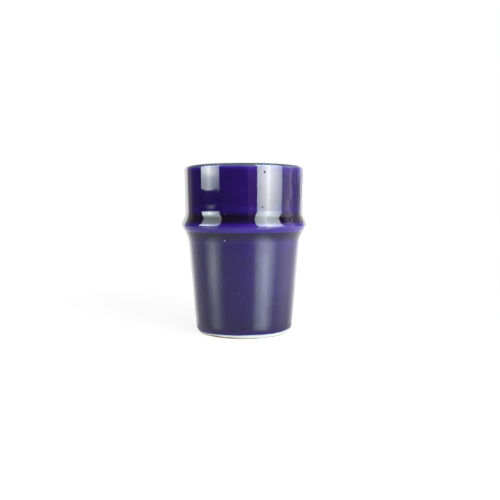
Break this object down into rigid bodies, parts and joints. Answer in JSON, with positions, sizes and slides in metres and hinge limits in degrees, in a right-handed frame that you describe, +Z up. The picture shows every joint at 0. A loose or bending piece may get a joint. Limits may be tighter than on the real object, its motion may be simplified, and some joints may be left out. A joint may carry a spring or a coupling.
{
  "type": "espresso cup",
  "caption": "Small espresso cup without a handle: tapering satin blue body, a rib round it, a straight gloss blue collar above and a bare clay foot ring.",
  "frame": {"origin": "on the table, at the centre of the foot ring", "axes": "+Z up along the axis of the cup; the cup is turned about +Z, so +X and +Y are free choices, with -Y towards the camera of the picture"},
  "size_m": [0.055, 0.055, 0.0725],
  "materials": {
    "clay": "bare fired white clay, matt",
    "gloss_glaze": "gloss cobalt blue glaze",
    "satin_glaze": "satin cobalt blue glaze"
  },
  "bodies": {
    "root": {"clay_body": "clay", "liner_glaze": "gloss_glaze", "collar_glaze": "gloss_glaze", "body_glaze": "satin_glaze"}
  },
  "joints": []
}
